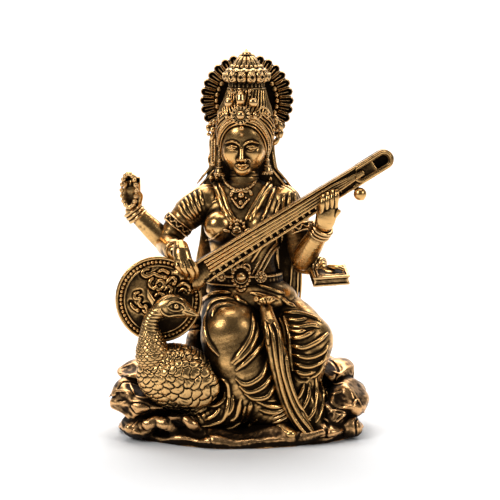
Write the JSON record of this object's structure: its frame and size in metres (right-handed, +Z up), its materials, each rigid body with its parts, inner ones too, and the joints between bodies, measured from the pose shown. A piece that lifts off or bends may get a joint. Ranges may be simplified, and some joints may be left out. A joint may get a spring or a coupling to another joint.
{
  "type": "seated deity statuette",
  "caption": "Small cast-brass statuette of a seated crowned goddess with a halo, playing a long-necked lute beside a peacock on a rocky base.",
  "frame": {"origin": "under the middle of the bounding box, on the flat underside of the plinth", "axes": "+X to the viewer's right, +Y away from the viewer, +Z up; the figure faces -Y"},
  "size_m": [0.0562, 0.0324, 0.0775],
  "materials": {
    "figure_brass": "antique cast brass, polished high spots and near-black recesses",
    "ornament_brass": "antique cast brass, brighter where the relief is raised",
    "lute_brass": "antique cast brass with dark grooves between the strings",
    "bird_brass": "antique cast brass with dark outlines round the feathers",
    "rock_brass": "antique cast brass, pitted, with dark crevices"
  },
  "bodies": {
    "root": {"anklet": "ornament_brass", "belt_buckle": "ornament_brass", "bird_body": "bird_brass", "bird_head": "bird_brass", "bird_neck": "bird_brass", "bird_wing": "bird_brass", "book": "ornament_brass", "book_forearm": "figure_brass", "book_hand": "figure_brass", "book_wrist_bangles": "ornament_brass", "brooch": "ornament_brass", "crown_cone": "ornament_brass", "crown_dome": "ornament_brass", "crown_finial": "ornament_brass", "crown_tier": "ornament_brass", "forehead_medallion": "ornament_brass", "fretting_forearm": "figure_brass", "fretting_hand": "figure_brass", "fretting_wrist_bangles": "ornament_brass", "hair": "figure_brass", "halo": "ornament_brass", "head": "figure_brass", "hem": "figure_brass", "lap": "figure_brass", "left_armlet": "ornament_brass", "left_drape": "figure_brass", "left_earring": "ornament_brass", "left_leg": "figure_brass", "left_rocks": "rock_brass", "left_shoulder_strap": "figure_brass", "left_upper_arm": "figure_brass", "lute_bowl": "lute_brass", "lute_head": "lute_brass", "lute_neck": "lute_brass", "lute_strings": "lute_brass", "lute_tuning_ball": "lute_brass", "necklace": "ornament_brass", "nose_ring": "ornament_brass", "pleat_knot": "figure_brass", "pleats": "figure_brass", "plinth": "rock_brass", "plucking_forearm": "figure_brass", "plucking_hand": "figure_brass", "plucking_wrist_bangle": "ornament_brass", "prayer_beads": "ornament_brass", "raised_forearm": "figure_brass", "raised_hand": "figure_brass", "raised_wrist_bangles": "ornament_brass", "right_armlet": "ornament_brass", "right_earring": "ornament_brass", "right_foot": "figure_brass", "right_leg": "figure_brass", "right_rocks": "rock_brass", "right_shoulder_strap": "figure_brass", "right_upper_arm": "figure_brass", "sash": "ornament_brass", "seat_rock": "rock_brass", "shawl": "figure_brass", "torso": "figure_brass", "waist_belt": "ornament_brass"}
  },
  "joints": []
}
